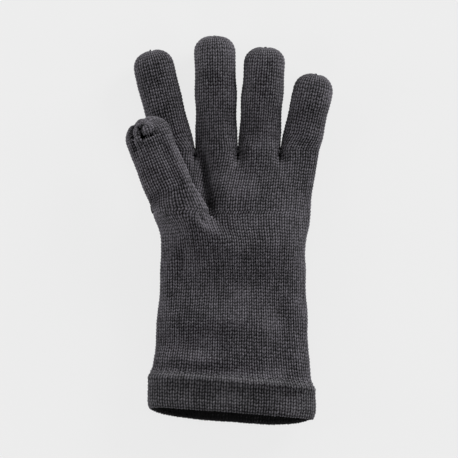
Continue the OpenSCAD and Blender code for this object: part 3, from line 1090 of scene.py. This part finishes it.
def yarn_piece(name, path, node, body):
    """A two-ply yarn along a path, closed at both ends."""
    sides, ups = path_frames(path)
    length = lengths_along(path)[:, None]
    turn = np.arange(YARN_SIDES) / YARN_SIDES * 2 * math.pi
    ply = 0.5 + 0.5 * np.cos(2 * turn[None, :] - PLY_TURN * length)
    radius = YARN * (PLY_WAIST + PLY_SWELL * ply)
    radius[[0, -1]] = END_RADIUS
    rings = (path[:, None, :] + sides[:, None, :] * (radius * np.cos(turn))[..., None]
             + ups[:, None, :] * (radius * np.sin(turn))[..., None])
    rings[..., 2] = np.maximum(rings[..., 2], 0.0)
    rows = len(path)
    count = rows * YARN_SIDES
    points = np.concatenate([rings.reshape(-1, 3), path[:1], path[-1:]])
    ring = np.arange(YARN_SIDES)
    quads = np.concatenate([
        ring_quads(rows, YARN_SIDES, 0, False), cap_quads(ring, count, True),
        cap_quads(ring + count - YARN_SIDES, count + 1, False)])
    mesh = new_mesh(name, points, quads)
    u, v = np.meshgrid(turn, length[:, 0])
    # the ply height is stored as the knit, so the colour darkens between the plies as painted shade
    store_knit(mesh, *(np.append(values.ravel(), (0, 0)) for values in (ply, u, v)))
    mesh.materials.append(yarn)
    piece = add_object(name, mesh)
    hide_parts(node)
    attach(piece, body)


COIL_TURNS, COIL_RISE, COIL_SINK = 2, 0.2, 0.9
COIL_SIZE, COIL_SHRINK = 0.85, 0.55  # its radius as a share of the hole's, and the share it loses by its end
END_FROM, END_DEPTH = 0.85, 2.2  # share of the yarn at which it turns down into the hole, and how deep


def draw_up_coil(centre, axis, radius):
    """The end of the yarn, wound twice round the drawn-up hole and tucked into it."""
    aside = unit(np.cross(axis, [0, 0, 1.0]))
    over = np.cross(aside, axis)
    t = np.linspace(0, 1, 60)
    turn = t * COIL_TURNS * 2 * math.pi
    size = radius * (1 - COIL_SHRINK * t)
    lift = COIL_RISE * np.sin(t * math.pi) - END_DEPTH * np.clip((t - END_FROM) / (1 - END_FROM), 0, 1)
    return (centre + np.outer(size * np.cos(turn), aside) + np.outer(size * np.sin(turn), over)
            + np.outer(lift, axis))


def tip_coil(name, key, body, node):
    """The drawn-up yarn at the end of a finger or the thumb."""
    rim = patches[key]["shown"][-1]
    before = patches[key]["shown"][-2 * ROWS_PER_COURSE]
    centre = rim.mean(axis=0)
    axis = unit(centre - before.mean(axis=0))
    radius = np.linalg.norm(rim - centre, axis=1).mean()
    yarn_piece(name, draw_up_coil(centre - axis * COIL_SINK, axis, radius * COIL_SIZE), node, body)


for finger in FINGERS + ("thumb",):
    tip_coil(finger + "_draw_up", finger, finger + "_tip", finger + "_tip_closure")

CROTCH_STITCHES = 3
STITCH_POINTS = 22  # in one stitch
STITCH_SPREAD, STITCH_REACH = 2.2, 1.5  # half the row's width, and half a stitch's length along the finger
STITCH_STAND, STITCH_BACK = 1.0, 0.6  # how far they pass the web above and below, and lie below the crotch


def crotch_stitch_path(x):
    """Whip stitches over the web between two fingers."""
    t = np.linspace(0, 1, STITCH_POINTS * CROTCH_STITCHES)
    turn = t * CROTCH_STITCHES * 2 * math.pi
    half = (WEB_TOP - WEB_BOTTOM) / 2 + STITCH_STAND
    return np.stack([x + STITCH_SPREAD * (2 * t - 1), ROOT_Y - STITCH_BACK + STITCH_REACH * np.cos(turn),
                     (WEB_TOP + WEB_BOTTOM) / 2 + half * np.sin(turn)], axis=1)


for index, place in enumerate(CROTCHES):
    yarn_piece(f"crotch_stitch_{index + 1}", crotch_stitch_path(place), "crotch_stitches", "hand")

LINK_ARCH, LINK_SINK, LINK_SWING = 0.3, 0.25, 0.4  # how far the linking loops stand up, sink in and swing
LINK_CLEAR = 1.1  # lowest place of the yarn's middle, in its radii


def linking_path():
    """A row of loops along the ridge that links the hem to the cuff."""
    row = patches["hem_band"]["shown"][-1]
    out = normals["hem_band"][-1]
    turn = np.arange(len(row)) / SUB * math.pi
    path = row + out * (LINK_ARCH * np.abs(np.sin(turn)) - LINK_SINK)[:, None]
    path[:, 1] += LINK_SWING * np.sin(turn)
    path[:, 2] = np.maximum(path[:, 2], YARN * LINK_CLEAR)
    return np.concatenate([path, path[:4]])[::2]


yarn_piece("hem_linking_row", linking_path(), "hem_linking", "cuff")

# ---- Camera, floor and light ----
VIEW_TILT = math.radians(8)
VIEW_DISTANCE = 2.0
VIEW_WIDTH = 0.3128  # width of what the camera sees at the glove
VIEW_TARGET = np.array([0.0007, -0.004, 0.012])


def add_camera():
    data = bpy.data.cameras.new("camera")
    camera = add_object("camera", data)
    away = np.array([0, -math.sin(VIEW_TILT), math.cos(VIEW_TILT)])
    camera.location = VIEW_TARGET + away * VIEW_DISTANCE
    camera.rotation_euler = (VIEW_TILT, 0, 0)
    data.sensor_width = 36
    data.lens = data.sensor_width * VIEW_DISTANCE / VIEW_WIDTH
    data.clip_end = 20
    bpy.context.scene.camera = camera


def add_area(name, place, size, watts):
    """A square light that faces the glove."""
    data = bpy.data.lights.new(name, "AREA")
    data.size = size
    data.energy = watts
    lamp = add_object(name, data)
    lamp.location = place
    x, y, z = place
    lamp.rotation_euler = (math.atan2(math.hypot(x, y), z), 0, math.atan2(x, -y))


FLOOR_SIDE = 6.0  # half of the floor's width, in metres
FLOOR_GAP = 0.0002  # how far it lies below the glove
FLOOR_DIFFUSE = 0.05
FLOOR_GLOW = 0.782


def add_floor():
    mesh = bpy.data.meshes.new("floor")
    corners = [(x * FLOOR_SIDE, y * FLOOR_SIDE, 0) for x, y in ((-1, -1), (1, -1), (1, 1), (-1, 1))]
    mesh.from_pydata(corners, [], [(0, 1, 2, 3)])
    floor = add_object("floor", mesh)
    floor.location = (0, 0, -FLOOR_GAP)
    material = bpy.data.materials.new("floor")
    material.use_nodes = True
    shader = material.node_tree.nodes["Principled BSDF"]
    set_inputs(shader, {"Base Color": (FLOOR_DIFFUSE, FLOOR_DIFFUSE, FLOOR_DIFFUSE, 1), "Roughness": 1.0,
                        "Specular IOR Level": 0.0, "Emission Color": (1, 1, 1, 1),
                        "Emission Strength": FLOOR_GLOW})
    mesh.materials.append(material)
    floor.visible_diffuse = False


def add_world(strength):
    world = bpy.data.worlds.new("studio")
    world.use_nodes = True
    set_inputs(world.node_tree.nodes["Background"], {"Color": (1, 1, 1, 1), "Strength": strength})
    bpy.context.scene.world = world


add_camera()
add_floor()
add_world(0.04)
LIGHTS = (  # name, place and size in metres, watts
    ("key_light", (1.76, 1.6, 0.64), 1.1, 96), ("top_light", (0.08, 2.4, 0.56), 1.1, 38),
    ("right_light", (1.4, -0.1, 0.38), 0.7, 15), ("left_light", (-1.5, 0.0, 0.34), 0.7, 25),
    ("far_left_light", (-1.0, 1.0, 0.51), 0.7, 10), ("near_light", (0.0, -1.4, 0.51), 0.7, 12))
for light in LIGHTS:
    add_area(*light)
bpy.context.scene.view_settings.view_transform = "Standard"

bpy.context.view_layer.update()
